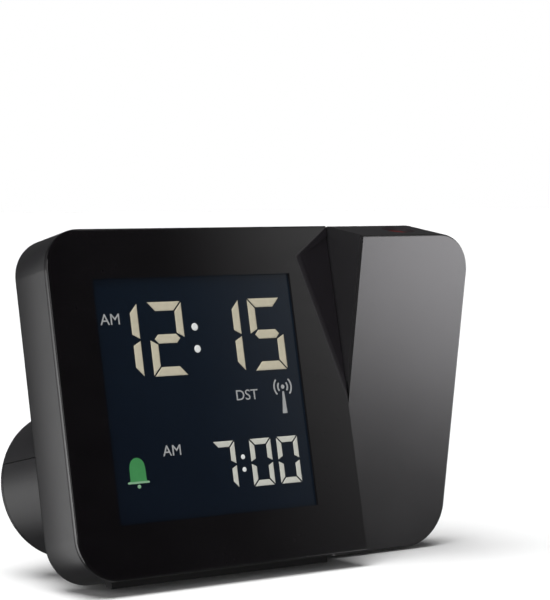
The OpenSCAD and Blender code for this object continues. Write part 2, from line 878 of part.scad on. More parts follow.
// a conical wire spring as a sweep of small rings
module coil_spring(length) {
    points = [for (i = [0:coil_steps], j = [0:coil_sides - 1])
        let (f = i / coil_steps, a = 360 * coil_turns * f, b = 360 * j / coil_sides,
            r = coil_foot_r + (coil_tip_r - coil_foot_r) * f + wire_r * cos(b))
        [wire_r + f * (length - 2 * wire_r) + wire_r * sin(b), r * cos(a), r * sin(a)]];
    sides = [for (i = [0:coil_steps - 1], j = [0:coil_sides - 1]) let (k = (j + 1) % coil_sides)
        [i * coil_sides + j, (i + 1) * coil_sides + j, (i + 1) * coil_sides + k, i * coil_sides + k]];
    ends = [[for (j = [0:coil_sides - 1]) j],
        [for (j = [coil_sides - 1:-1:0]) coil_steps * coil_sides + j]];
    polyhedron(points, concat(sides, ends), convexity = 6);
}

module contact_springs() {
    color("silver") on_case() {
        translate([bay_left + contact_t, cell_t, cell_w]) coil_spring(spring_len);
        translate([bay_right - contact_t, cell_t, cell_w + cell_step]) mirror([1, 0, 0])
            coil_spring(spring_len);
    }
}

// a tongue of the battery cover that hooks into the case, or its slot where gap is given
module tongue(u, t0, gap = 0) {
    high = hump_top - tongue_skin;
    block(u - tongue_w / 2 - gap, u + tongue_w / 2 + gap, t0, slab_t + over,
        high - tongue_t - gap, high + gap);
}

// hood over the upper part of the housing, in one piece with the rear face
module battery_cover() {
    rib_w = hump_low + wall + cover_gap;
    color([0.07, 0.07, 0.075]) on_case() {
        difference() {
            hump_slab(cover_face, hump_back, 0, hump_round);
            for (i = [0:grip_count - 1])
                pad(body_mid, hump_top - grip_drop - i * grip_step, grip_len, grip_size,
                    hump_back - grip_size / 2, hump_back + over);
        }
        difference() {
            hump_slab(slab_t + cover_gap, cover_face + weld);
            hump_slab(slab_t - over, cover_face + over, wall);
            block(0, body_w, slab_t - over, hump_back, 0, cover_split + cover_gap);
        }
        block(bay_left + rib_t, bay_right - rib_t, cover_face - rib_reach, cover_face + weld,
            rib_w, rib_w + rib_t);
        for (u = tongue_places) tongue(u, slab_t - tongue_reach);
    }
}

module foot_strip() {
    t1 = slab_t - back_round;
    t0 = t1 - strip_depth;
    color([0.03, 0.03, 0.03]) on_case() translate([strip_left, 0, 0]) rotate([90, 0, 90])
        linear_extrude(body_w - strip_left - strip_right)
            polygon([[t0, 0], [t1, 0], [t1, table_w(t1)], [t0, table_w(t0)]]);
}

module rear_pads() {
    t0 = rail_back - rail_depth + pad_inset;
    t1 = rail_back - pad_inset;
    color([0.03, 0.03, 0.03]) on_case()
        for (u = [rail_side + pad_inset, body_w - rail_side - pad_inset - pad_len])
            translate([u, 0, 0]) rotate([90, 0, 90]) linear_extrude(pad_len)
                polygon([[t0, table_w(t0, pad_h)], [t1, table_w(t1, pad_h)],
                    [t1, table_w(t1)], [t0, table_w(t0)]]);
}

module rear_key(i) { color([0.1, 0.1, 0.105]) on_case() key(key_places[i], board_back); }

module key_mode() { rear_key(0); }

module key_alarm() { rear_key(1); }

module key_plus() { rear_key(2); }

module key_minus() { rear_key(3); }

module key_wave() { rear_key(4); }

module alarm_switch() { color([0.12, 0.12, 0.125]) on_case() slider([body_mid, switch_row]); }

// ---- the swivel

module friction_washer() {
    end = bearing_end - washer_gap;
    color([0.8, 0.78, 0.7]) on_case() difference() {
        rod_x(end - washer_t, end, pivot_t, pivot_h, bearing_r + bearing_wall);
        rod_x(end - washer_t - over, end + over, pivot_t, pivot_h, bearing_r);
    }
}

// the case's end of the wires, from the main board to the mouth of the hub
module lead_tail() {
    color([0.2, 0.2, 0.2]) on_case() rod_x(board_right, hub_end + weld - lead_gap, pivot_t, pivot_h, lead_r);
}

module swivel_hub() {
    flange_u = arm_u + wall;
    color([0.55, 0.55, 0.57]) on_arm() difference() {
        union() {
            rod_x(hub_end, flange_u + eps, pivot_t, pivot_h, hub_r);
            rod_x(flange_u, flange_u + hub_flange_t, pivot_t, pivot_h, hub_flange_r);
        }
        rod_x(hub_end - over, flange_u + hub_flange_t + over, pivot_t, pivot_h, hub_bore_r);
        difference() {
            rod_x(groove_u - ring_gap, groove_u + ring_t + ring_gap, pivot_t, pivot_h, hub_r + over);
            rod_x(groove_u - over, groove_u + ring_t + over, pivot_t, pivot_h, hub_r - groove_depth);
        }
    }
}

module retaining_ring() {
    end = groove_u + ring_t;
    color("silver") on_arm() difference() {
        rod_x(groove_u, end, pivot_t, pivot_h, ring_r);
        rod_x(groove_u - over, end + over, pivot_t, pivot_h, hub_r - groove_depth + 0.02);
        block(groove_u - over, end + over, pivot_t - ring_mouth / 2, pivot_t + ring_mouth / 2,
            pivot_h - 2 * ring_r, pivot_h);
    }
}

// the wires run through the hub and turn down to the arm's board
module projector_lead() {
    color([0.2, 0.2, 0.2]) on_arm() {
        rod_x(hub_end + weld, lead_u - lead_bend, pivot_t, pivot_h, lead_r);
        translate([lead_u - lead_bend, pivot_t, pivot_h - lead_bend]) rotate([90, 0, 0])
            rotate_extrude(angle = 90) translate([lead_bend, 0]) circle(r = lead_r);
        rod_z(lead_u, pivot_t, arm_board_w[1], pivot_h - lead_bend, lead_r);
    }
}

// ---- the projector arm

module arm_front() {
    color([0.3, 0.3, 0.31]) on_arm() {
        arm_outline(0, front_t, edge_round, seam);
        arm_room(front_t - weld, plate_t, plug_gap);
        for (b = arm_bosses) front_boss(b);
        for (s = [-1, 1]) rod_y(arm_mid + s * post_side, (arm_board_w[0] + arm_board_w[1]) / 2,
            plate_t - 0.3, arm_board_back - board_t - stop_gap, boss_r);
    }
}

// round opening over the lens, with a countersunk rim
module lens_opening() {
    sink = wall / 2;
    rod_z(arm_mid, pivot_t, arm_wall_top - over, slab_h + over, lens_open_r);
    translate([arm_mid, pivot_t, slab_h - sink])
        cylinder(r1 = lens_open_r, r2 = lens_open_r + sink + eps, h = sink + eps);
}

// ledges on both side walls that the arm's board lies against
module board_ledges() {
    for (u = [arm_u + wall - weld, overall_w - wall - ledge_w])
        block(u, u + ledge_w + weld, arm_board_back, arm_board_back + ledge_t,
            arm_board_w[0], arm_board_w[1]);
}

// two brackets that carry the axle of the focus wheel
module axle_brackets() {
    for (u = [bracket_u, bracket_end]) difference() {
        block(u, u + bracket_t, focus_t - axle_r - 1.2, inner_back + 0.3,
            focus_w - bracket_w / 2, focus_w + bracket_w / 2);
        rod_x(u - over, u + bracket_t + over, focus_t, focus_w, axle_r + axle_play);
    }
}

module arm_rear() {
    color([0.07, 0.07, 0.075]) on_arm() {
        difference() {
            arm_outline(front_t, slab_t, seam, back_round);
            arm_room(front_t - over, inner_back);
            rod_x(arm_u - over, arm_u + wall + over, pivot_t, pivot_h, hub_r + 0.02);
            lens_opening();
            key_hole(flip_place, key_w, key_h, key_corner);
            key_hole(power_place, knob_w + switch_travel, knob_h, knob_corner);
            block(wheel_u - wheel_gap, wheel_u + wheel_t + wheel_gap, inner_back - over, slab_t + over,
                focus_w - wheel_slot, focus_w + wheel_slot);
            block(gear_u - wheel_gap, wheel_u, inner_back - over, focus_t + gear_tip + wheel_gap,
                focus_w - gear_tip, focus_w + gear_tip);
            for (b = arm_bosses) screw_bore(b);
        }
        for (b = arm_bosses) rear_boss(b);
        board_ledges();
        axle_brackets();
    }
}

module arm_screws() {
    color("silver") on_arm() for (b = arm_bosses) screw(b, slab_t - head_sink + head_h, plate_t + 1.2);
}

module arm_board() {
    color([0.05, 0.3, 0.15]) on_arm() block(arm_u + wall + arm_board_gap, overall_w - wall - arm_board_gap,
        arm_board_back - board_t, arm_board_back, arm_board_w[0], arm_board_w[1]);
}

module arm_switches() {
    color([0.15, 0.15, 0.15]) on_arm() {
        tact_switch(flip_place, arm_board_back);
        slider_body(power_place, arm_board_back);
    }
}

module flip_key() { color([0.1, 0.1, 0.105]) on_arm() key(flip_place, arm_board_back); }

module projector_switch() { color([0.12, 0.12, 0.125]) on_arm() slider(power_place); }

// a block as deep as the arm's cavity that carries the optics
module optics_block(w0, w1) {
    block(arm_mid - optics_w / 2, arm_mid + optics_w / 2,
        plate_t + optics_gap, inner_back - optics_gap, w0, w1);
}

module lamp_board() { color([0.05, 0.3, 0.15]) on_arm() optics_block(lamp_w - board_t, lamp_w); }

module lamp() {
    tip = lamp_w + lamp_h - lamp_r;
    color([0.85, 0.1, 0.08]) on_arm() {
        rod_z(arm_mid, pivot_t, lamp_w, lamp_w + 1, lamp_r + 0.4);
        rod_z(arm_mid, pivot_t, lamp_w + 1, tip, lamp_r);
        translate([arm_mid, pivot_t, tip]) sphere(r = lamp_r);
    }
}

module lamp_housing() {
    color([0.9, 0.9, 0.88]) on_arm() difference() {
        optics_block(lamp_w, tube_low - slide_t);
        rod_z(arm_mid, pivot_t, lamp_w - over, condenser_w, lamp_r + 1.6);
        rod_z(arm_mid, pivot_t, condenser_w, tube_low, condenser_r + 0.05);
    }
}

// a lens with one flat side: a rim from height w, then a dome
module lens(w, r, rim, dome) {
    rod_z(arm_mid, pivot_t, w, w + rim, r);
    intersection() {
        translate([arm_mid, pivot_t, w + rim - sqrt(dome * dome - r * r)]) sphere(r = dome);
        rod_z(arm_mid, pivot_t, w + rim / 2, w + dome, r);
    }
}

module condenser_lens() {
    color([0.8, 0.88, 0.9]) on_arm() lens(condenser_w, condenser_r, condenser_t, condenser_dome);
}

module projection_lcd() {
    half = slide_w / 2;
    color([0.1, 0.12, 0.16]) on_arm()
        block(arm_mid - half, arm_mid + half, pivot_t - half, pivot_t + half, tube_low - slide_t, tube_low);
}

module projector_tube() {
    foot_w = 3;
    color([0.06, 0.06, 0.06]) on_arm() difference() {
        union() {
            rod_z(arm_mid, pivot_t, tube_low, tube_top, tube_r);
            block(arm_mid - tube_r, arm_mid + tube_r, pivot_t + tube_r - over, inner_back,
                tube_low, tube_low + foot_w);
        }
        rod_z(arm_mid, pivot_t, tube_low - over, tube_top + over, barrel_r + barrel_play);
        block(arm_mid, arm_mid + 2 * tube_r, pivot_t - tube_slot, pivot_t + tube_slot,
            focus_w - rack_half - 2 * focus_travel, tube_top + over);
    }
}

// the barrel carries a rack that faces the pinion
module lens_barrel() {
    low = barrel_top - barrel_len;
    color([0.08, 0.08, 0.08]) on_arm() {
        difference() {
            rod_z(arm_mid, pivot_t, low, barrel_top, barrel_r);
            rod_z(arm_mid, pivot_t, low - over, barrel_top - lens_seat - barrel_wall, barrel_r - barrel_wall);
            rod_z(arm_mid, pivot_t, low, barrel_top, lens_open_r - 0.4);
            rod_z(arm_mid, pivot_t, barrel_top - lens_seat, barrel_top + over, barrel_r - 1);
        }
        block(arm_mid + barrel_r - 0.8, gear_u + gear_len, rack_t - rack_back - rack_body, rack_t - rack_back,
            focus_w - rack_half, focus_w + rack_half);
        translate([gear_u, 0, focus_w]) rotate([90, 0, 90]) linear_extrude(gear_len)
            for (i = [-2:1]) polygon(rack_tooth((i + 0.5) * gear_pitch));
    }
}

// outline of one rack tooth at height w from the middle of the rack
function rack_tooth(w) =
    let (root = rack_t - 1.1 * gear_module, tip = rack_t + 0.9 * gear_module, base = rack_t - rack_back - eps,
        wide = 0.36 * gear_pitch, narrow = 0.12 * gear_pitch)
    [[base, w - wide], [root, w - wide], [tip, w - narrow],
        [tip, w + narrow], [root, w + wide], [base, w + wide]];

module projector_lens() {
    color([0.7, 0.12, 0.1]) on_arm() lens(barrel_top - lens_seat, lens_r, lens_rim, lens_dome);
}

// outline of the pinion, with one tooth pointing at the rack
module pinion() {
    step = 360 / gear_teeth;
    root = gear_r - gear_module;
    tooth = [[root, -0.26], [gear_tip, -0.12], [gear_tip, 0.12], [root, 0.26]];
    polygon([for (i = [0:gear_teeth - 1], k = tooth)
        let (a = 180 + (i + k[1]) * step) [k[0] * cos(a), k[0] * sin(a)]]);
}

module focus_wheel() {
    color([0.1, 0.1, 0.105]) on_arm() translate([gear_u, focus_t, focus_w]) rotate([90, 0, 90]) difference() {
        union() {
            translate([0, 0, gear_len]) difference() {
                cylinder(r = wheel_r, h = wheel_t);
                for (i = [0:wheel_grips - 1]) rotate([0, 0, 360 * i / wheel_grips])
                    translate([wheel_r + 0.15, 0, -over]) cylinder(r = 0.4, h = wheel_t + 2 * over, $fn = 6);
            }
            linear_extrude(gear_len + weld) pinion();
        }
        translate([0, 0, -over]) cylinder(r = axle_r + axle_play, h = gear_len + wheel_t + 2 * over);
    }
}

module focus_axle() {
    color("silver") on_arm() rod_x(bracket_u, bracket_end + bracket_t, focus_t, focus_w, axle_r);
}

front_plate();
display_window();
lcd_panel();
diffuser_sheet();
light_guide();
display_frame();
contact_strips();
main_board();
control_chip();
quartz_crystal();
tact_switches();
switch_base();
ferrite_rod();
antenna_coil();
touch_plate();
buzzer();
dc_inlet();
rear_shell();
case_screws();
board_screws();
battery_cells();
contact_plates();
contact_springs();
battery_cover();
foot_strip();
rear_pads();
key_mode();
key_alarm();
key_plus();
key_minus();
key_wave();
alarm_switch();
friction_washer();
lead_tail();
arm_front();
arm_rear();
swivel_hub();
retaining_ring();
projector_lead();
arm_board();
arm_switches();
lamp_board();
lamp();
lamp_housing();
condenser_lens();
projection_lcd();
projector_tube();
lens_barrel();
projector_lens();
focus_wheel();
focus_axle();
flip_key();
projector_switch();
arm_screws();
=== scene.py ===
# %% [markdown]
# # A projection alarm clock
# The clock is a thin leaning case with a dark display, a round-ended battery housing behind it, and a block
# that turns on its right side and throws the time on the ceiling. The parts with real sizes come packed as a
# fixed frame. This script gives them their plastics, metals and inks, draws the display, and lights a small
# studio.

# %% Load the frame
import bpy
import bmesh
import json
import math
from mathutils import Matrix, Vector


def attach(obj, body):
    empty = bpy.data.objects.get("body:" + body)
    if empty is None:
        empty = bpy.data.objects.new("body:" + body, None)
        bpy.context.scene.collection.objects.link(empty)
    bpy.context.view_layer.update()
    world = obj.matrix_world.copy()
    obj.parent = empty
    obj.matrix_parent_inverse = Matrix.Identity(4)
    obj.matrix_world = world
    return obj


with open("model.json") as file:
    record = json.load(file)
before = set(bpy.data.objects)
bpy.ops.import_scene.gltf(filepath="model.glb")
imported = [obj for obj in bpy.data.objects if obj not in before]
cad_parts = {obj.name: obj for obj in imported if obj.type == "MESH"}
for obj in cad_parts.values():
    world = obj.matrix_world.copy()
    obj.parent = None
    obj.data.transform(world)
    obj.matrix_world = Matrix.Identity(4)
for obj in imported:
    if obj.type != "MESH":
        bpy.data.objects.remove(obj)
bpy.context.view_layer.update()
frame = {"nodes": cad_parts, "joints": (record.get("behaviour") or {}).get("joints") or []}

print("parts in the frame:", len(frame["nodes"]))

# %% [markdown]
# ## Directions and sizes of the case
# The case leans back by twelve degrees about the bottom of its front. Its own directions are u to the right,
# w up along the front and t into the case. A sketch in millimetres on the front is easier to think about than
# leaning coordinates in metres, so one matrix takes a flat drawing onto the case. The swivel's place in the
# frame is the fixed point that the rest is measured from. An empty object as a parent could carry the lean
# too, but a finished piece keeps its place in its own mesh.

# %% Directions on the case
MM = 0.001
LEAN = math.radians(12)
CASE_WIDTH, CASE_DEPTH, SWIVEL_HEIGHT = 94.1, 18, 45.0
SWIVEL_UTW = Vector((CASE_WIDTH, CASE_DEPTH / 2, SWIVEL_HEIGHT))
swivel = Vector(next(j for j in frame["joints"] if j["name"] == "projector_swivel")["pos_m"])
across_case = Vector((1, 0, 0))
into_case = Vector((0, math.cos(LEAN), -math.sin(LEAN)))
up_case = Vector((0, math.sin(LEAN), math.cos(LEAN)))


def case_point(u, t, w):
    """The place in metres of a point that is given in millimetres along the case."""
    du, dt, dw = Vector((u, t, w)) - SWIVEL_UTW
    return swivel + (across_case * du + into_case * dt + up_case * dw) * MM


def drawing_board(t):
    """Takes a drawing with x along u, y along w and z out of the case onto the plane at depth t."""
    turn = Matrix((across_case, up_case, -into_case)).transposed().to_4x4()
    return Matrix.Translation(case_point(0, t, 0)) @ turn @ Matrix.Scale(MM, 4)


print("lower left corner of the front:", [round(v, 4) for v in case_point(0, 0, 0)])

# %% [markdown]
# ## Shader sums that read like sums
# A finish is a net of nodes. Written out link by link it hides its own idea, so two small helpers carry it: a
# wire wraps one output and knows plus, minus and times, and a finish wraps one material and adds any node by
# its type, its settings and its inputs.

# %% Wires


class Wire:
    """One output of a node that can stand in a sum."""

    def __init__(self, net, socket):
        self.net, self.socket = net, socket

    def _math(self, operation, first, second):
        return self.net.node("ShaderNodeMath", {"operation": operation}, {0: first, 1: second})

    def __add__(self, other):
        return self._math("ADD", self, other)

    def __sub__(self, other):
        return self._math("SUBTRACT", self, other)

    def __rsub__(self, other):
        return self._math("SUBTRACT", other, self)

    def __mul__(self, other):
        return self._math("MULTIPLY", self, other)

    __radd__ = __add__
    __rmul__ = __mul__


# %% Nets and finishes


class Net:
    """A tree of nodes, and the ways to add to it."""

    def node(self, kind, settings=None, inputs=None, out=0):
        """Adds a node, sets it up, feeds its inputs with values or wires, and returns one output."""
        made = self.tree.nodes.new(kind)
        for key, value in (settings or {}).items():
            setattr(made, key, value)
        self.feed(made, inputs or {})
        return made if out is None else Wire(self, made.outputs[out])

    def feed(self, made, inputs):
        for key, value in inputs.items():
            if isinstance(value, Wire):
                self.tree.links.new(value.socket, made.inputs[key])
            else:
                made.inputs[key].default_value = value

    def spread(self, value, low, high, smooth=False):
        """Stretches the part of a value from low to high over 0 to 1."""
        settings = {"interpolation_type": "SMOOTHSTEP" if smooth else "LINEAR"}
        return self.node("ShaderNodeMapRange", settings, {"Value": value, "From Min": low, "From Max": high})


class Finish(Net):
    """One material, and the nodes that make it."""

    def __init__(self, name, **fixed):
        self.material = bpy.data.materials.new(name)
        self.material.use_nodes = True
        self.tree = self.material.node_tree
        self.shader = self.tree.nodes["Principled BSDF"]
        self.place = self.node("ShaderNodeTexCoord", out="Object")
        self.shade({key.replace("_", " "): value for key, value in fixed.items()})

    def shade(self, inputs):
        self.feed(self.shader, inputs)
        return self

    def along(self, direction):
        """How far the surface lies in a direction, in metres."""
        inputs = {0: self.place, 1: direction}
        return self.node("ShaderNodeVectorMath", {"operation": "DOT_PRODUCT"}, inputs, "Value")

    def noise(self, scale, detail, stretch=None):
        """Noise of that many lumps to the metre; stretch packs them closer along an axis."""
        where = self.place
        if stretch:
            where = self.node("ShaderNodeMapping", None, {"Vector": where, "Scale": stretch})
        return self.node("ShaderNodeTexNoise", None, {"Vector": where, "Scale": scale, "Detail": detail})

    def between(self, low, high, mask):
        """A colour that goes from low to high as the mask goes from 0 to 1; low may be a wire."""
        start = low if isinstance(low, Wire) else (*low, 1)
        settings = {"data_type": "RGBA"}
        return self.node("ShaderNodeMix", settings, {"Factor": mask, 6: start, 7: (*high, 1)}, out=2)

    def bump(self, height, depth, strength=1.0, onto=None):
        """A normal that a height between 0 and 1 tilts; onto is the normal that it starts from."""
        inputs = {"Height": height, "Distance": depth, "Strength": strength}
        if onto:
            inputs["Normal"] = onto
        return self.node("ShaderNodeBump", None, inputs)

    def emboss(self, height, depth, strength, onto=None):
        return self.shade({"Normal": self.bump(height, depth, strength, onto)})


def give(finish, *names):
    """Puts a finish on CAD parts."""
    for name in names:
        part = frame["nodes"][name]
        part.data.materials.clear()
        part.data.materials.append(finish.material)
    print(finish.material.name, "on", ", ".join(names))


# %% [markdown]
# ## Satin moulded plastic
# The rear shell, battery hood and rear of the projector block are dark mouldings with a fine sparked texture.
# The texture is a tenth of a millimetre across, so it shows as softness more than as bumps. Broad, faint
# patches keep a large wall from looking like paint in a computer. Both could be painted as pictures, but
# noise on the part's own coordinates has no seams and needs no unwrapping. A cooled side wall is never quite
# flat either: between front and back it bulges by about half a millimetre, and that spreads what it mirrors
# into a slow gradient. The bulge is too faint to model, so it bends the normal only.

# %% Case mouldings
CROWN_RISE = 0.6 * MM


def crowned(finish):
    """The normal of side walls that bulge halfway between the front and the back of the case."""
    front, back = (case_point(0, t, 0).dot(into_case) for t in (0, CASE_DEPTH))
    share = finish.spread(finish.along(into_case), front, back)
    bulge = share * (1 - share) * 4  # 0 at the front and the back, and 1 halfway
    return finish.bump(bulge, CROWN_RISE)


def moulding(name, dark, light, roughness, grain=2600, depth=0.03, patch=38, crown=False):
    """A moulded plastic; the depth of its grain is in millimetres."""
    made = Finish(name, Specular_IOR_Level=0.5)
    patches = made.spread(made.noise(patch, 3), 0.3, 0.7)
    speck = made.noise(grain, 3)
    colour = made.between(dark, light, patches * 0.6 + made.spread(speck, 0.3, 0.7) * 0.4)
    made.shade({"Base Color": colour, "Roughness": roughness - 0.04 + patches * 0.08})
    return made.emboss(speck, depth * MM, 0.35, crowned(made) if crown else None)


case_satin = moulding("case_satin", (0.010, 0.0098, 0.0108), (0.0175, 0.017, 0.0185), 0.36, crown=True)
give(case_satin, "rear_shell", "battery_cover")
arm_shell_satin = moulding("arm_shell_satin", (0.011, 0.0105, 0.0115), (0.019, 0.018, 0.020), 0.40)
give(arm_shell_satin, "arm_rear")
key_satin = moulding("key_satin", (0.018, 0.018, 0.019), (0.030, 0.030, 0.031), 0.5, patch=120)
give(key_satin, "key_mode", "key_alarm", "key_plus", "key_minus", "key_wave", "alarm_switch", "flip_key")
give(key_satin, "projector_switch", "focus_wheel")
switch_black = moulding("switch_black", (0.020, 0.020, 0.021), (0.038, 0.038, 0.039), 0.45, patch=300)
give(switch_black, "tact_switches", "arm_switches", "switch_base", "buzzer", "projector_tube", "lens_barrel")
give(switch_black, "dc_inlet")

# %% [markdown]
# ## Polished black front
# The front plate comes out of a polished mould: black right through, with a clear gloss on top. Real gloss is
# never clean, so a wide, weak noise lifts the roughness here and there as wiping leaves it. The facet at the
# upper right corner is duller, and its black is painted lighter. This duller, lighter area reaches a little
# past the facet, over the strip that mirrors the dark side of the block, and fades out there; its lighter
# black is painted light on the facet and painted light over that dark reflection on the strip. It could be a
# second material on faces of its own, but the strip has no faces of its own, so two lines on the front bound
# the area instead.

# %% Front plate
FIELD_HIGH, FIELD_OUT, FIELD_LOW = (CASE_WIDTH, 93.4), (82.2, 85.2), (CASE_WIDTH, 43.5)
FIELD_BLUR = 0.6
BLACK_DARK, BLACK_LIGHT = (0.0017, 0.0012, 0.0018), (0.0029, 0.0023, 0.0031)
PAINTED_LIGHT_BLACK = (0.0080, 0.0066, 0.0086)


def inside_of(finish, start, end):
    """1 on the inner side of a line on the front and 0 outside it, for lines that go round leftwards."""
    start, end = (case_point(u, 0, w) for u, w in (start, end))
    inward = (end - start).cross(into_case).normalized()
    line = start.dot(inward)
    return finish.spread(finish.along(inward), line - FIELD_BLUR * MM, line)


front_gloss = Finish("front_gloss", Coat_Roughness=0.05, Coat_IOR=1.5, Specular_IOR_Level=0.15)
wipes = front_gloss.spread(front_gloss.noise(60, 4, stretch=(1, 1, 2.4)), 0.35, 0.75)
dust = front_gloss.spread(front_gloss.noise(1500, 2), 0.62, 0.9)
# painted light: the facet and a strip past it get a lighter black, as well as a duller gloss
dull_and_painted_light_field = inside_of(front_gloss, FIELD_HIGH, FIELD_OUT) * inside_of(front_gloss, FIELD_OUT, FIELD_LOW)
black = front_gloss.between(BLACK_DARK, BLACK_LIGHT, wipes * 0.7 + dust * 0.3)
front_gloss.shade({"Base Color": front_gloss.between(black, PAINTED_LIGHT_BLACK, dull_and_painted_light_field)})
front_gloss.shade({"Coat Weight": 1.0 - wipes * 0.12})
front_gloss.shade({"Roughness": 0.2 + wipes * 0.07 + dust * 0.1 + dull_and_painted_light_field * 0.12})
front_gloss.emboss(front_gloss.noise(26, 1), 0.12 * MM, 0.12, crowned(front_gloss))
give(front_gloss, "front_plate")

# %% [markdown]
# ## Smoked display pane
# The pane is hard-coated acrylic, smoked so dark that the crystal behind it shows only as navy. Its navy is
# painted lighter towards its upper right corner, painted light for where the stack behind it catches more
# light.
# Clear tinted glass over a lit crystal would be the truer build. It takes many bounces of light to show
# almost nothing, so the pane is opaque and carries the navy itself.

# %% Display pane
PANE_LEFT, PANE_RIGHT = 12.3, 80.1
PANE_LOW, PANE_HIGH = 13.1, 81.4
NAVY_DARK, NAVY_LIGHT = (0.0020, 0.0036, 0.0080), (0.0028, 0.0080, 0.0160)
upright = Vector((0, 0, 1))
pane_smoke = Finish("pane_smoke", Coat_Roughness=0.04, Coat_IOR=1.5, Coat_Weight=0.43, Specular_IOR_Level=0.2)
left_edge, right_edge = (case_point(u, 0, 0).x for u in (PANE_LEFT, PANE_RIGHT))
low_edge, high_edge = (case_point(0, 0, w).z for w in (PANE_LOW, PANE_HIGH))
to_the_right = pane_smoke.spread(pane_smoke.along(across_case), left_edge, right_edge)
to_the_top = pane_smoke.spread(pane_smoke.along(upright), low_edge, high_edge)
cloud = pane_smoke.noise(45, 3)
# painted light: the navy is painted lighter towards the right and the top of the pane, with a random cloudy
# tone over it
navy_tone_and_painted_light = to_the_right * 0.4 + to_the_top * 0.3 + cloud * 0.3
pane_smoke.shade({"Base Color": pane_smoke.between(NAVY_DARK, NAVY_LIGHT, navy_tone_and_painted_light)})
pane_smoke.shade({"Roughness": 0.15 + cloud * 0.08})
give(pane_smoke, "display_window")

lcd_glass = Finish("lcd_glass", Coat_Weight=0.5, Coat_Roughness=0.05)
rows = lcd_glass.noise(90, 2, stretch=(1, 1, 6))
lcd_glass.shade({"Base Color": lcd_glass.between((0.006, 0.008, 0.015), (0.012, 0.016, 0.028), rows)})
lcd_glass.shade({"Roughness": 0.1 + rows * 0.1})
give(lcd_glass, "lcd_panel", "projection_lcd")

# %% [markdown]
# ## Satin graphite front of the projector block
# This plate is lacquered, a fine grey metallic over plastic. Flakes are finer than the eye resolves, so they
# go into the metal share and the colour as tiny cells. A plain grey would be close from afar, but it turns
# chalky in raking light, where metal stays dark. A thin, weak clear coat lies on the metallic, and haze in it
# softens what the plate mirrors.

# %% Projector front
arm_lacquer = Finish("arm_lacquer", Coat_Roughness=0.2, Coat_IOR=1.45)
flake_cells = {"Vector": arm_lacquer.place, "Scale": 5200.0}
flake_colours = arm_lacquer.node("ShaderNodeTexVoronoi", None, flake_cells, out="Color")
flake = arm_lacquer.node("ShaderNodeSeparateColor", None, {0: flake_colours})
haze = arm_lacquer.spread(arm_lacquer.noise(30, 3), 0.3, 0.7)
grey = arm_lacquer.between((0.092, 0.090, 0.093), (0.112, 0.110, 0.114), flake * 0.45 + haze * 0.55)
arm_lacquer.shade({"Base Color": grey, "Metallic": 0.9 + flake * 0.08, "Roughness": 0.15 + haze * 0.03})
arm_lacquer.shade({"Coat Weight": 0.1 + haze * 0.05})
arm_lacquer.emboss(flake, 0.004 * MM, 0.3)
give(arm_lacquer, "arm_front")

# %% [markdown]
# ## Rubber, metal and the parts inside
# The parts behind the covers show through slots, round the swivel and when the battery hood is off, so each
# gets its own finish: nickel with drawn scratches, brass, copper wire in turns, green lacquered board and a
# sintered rod. The cells wear a dark sleeve with a bare metal band. One grey for all of them would be
# quicker, but an opened clock is read by its metals and colours. Metals share one function, in which only the
# colour, the polish and the way of the scratches change.

# %% Rubber feet, sleeves and the nylon washer
RUBBER_DARK, RUBBER_LIGHT = (0.010, 0.010, 0.010), (0.020, 0.020, 0.021)
foot_rubber = moulding("foot_rubber", RUBBER_DARK, RUBBER_LIGHT, 0.72, grain=1800, depth=0.06)
give(foot_rubber, "foot_strip", "rear_pads")
wire_sleeve = moulding("wire_sleeve", (0.015, 0.015, 0.016), (0.030, 0.030, 0.031), 0.45, grain=900)
give(wire_sleeve, "lead_tail", "projector_lead")
nylon = moulding("nylon", (0.60, 0.57, 0.48), (0.70, 0.67, 0.58), 0.45, grain=800)
give(nylon, "friction_washer")

# %% Metals


def plated(name, dark, light, roughness, along=(1, 1, 14)):
    """A bare or plated metal with drawn scratches and a little tarnish."""
    made = Finish(name, Metallic=1.0)
    scratches = made.noise(700, 4, stretch=along)
    tarnish = made.spread(made.noise(110, 3), 0.3, 0.75)
    made.shade({"Base Color": made.between(light, dark, tarnish)})
    made.shade({"Roughness": roughness + scratches * 0.14 + tarnish * 0.08})
    return made.emboss(scratches, 0.02 * MM, 0.3)


nickel = plated("nickel", (0.42, 0.41, 0.39), (0.62, 0.61, 0.59), 0.18)
give(nickel, "case_screws", "board_screws", "arm_screws", "contact_plates", "contact_springs")
give(nickel, "quartz_crystal", "retaining_ring", "focus_axle")
turned_hub = plated("turned_hub", (0.33, 0.33, 0.34), (0.50, 0.50, 0.52), 0.24, along=(16, 1, 1))
give(turned_hub, "swivel_hub")
brass_sheet = plated("brass_sheet", (0.50, 0.36, 0.14), (0.72, 0.55, 0.26), 0.22, along=(14, 1, 1))
give(brass_sheet, "touch_plate")
copper_wire = plated("copper_wire", (0.42, 0.16, 0.05), (0.66, 0.30, 0.12), 0.2, along=(1, 1, 40))
give(copper_wire, "antenna_coil")

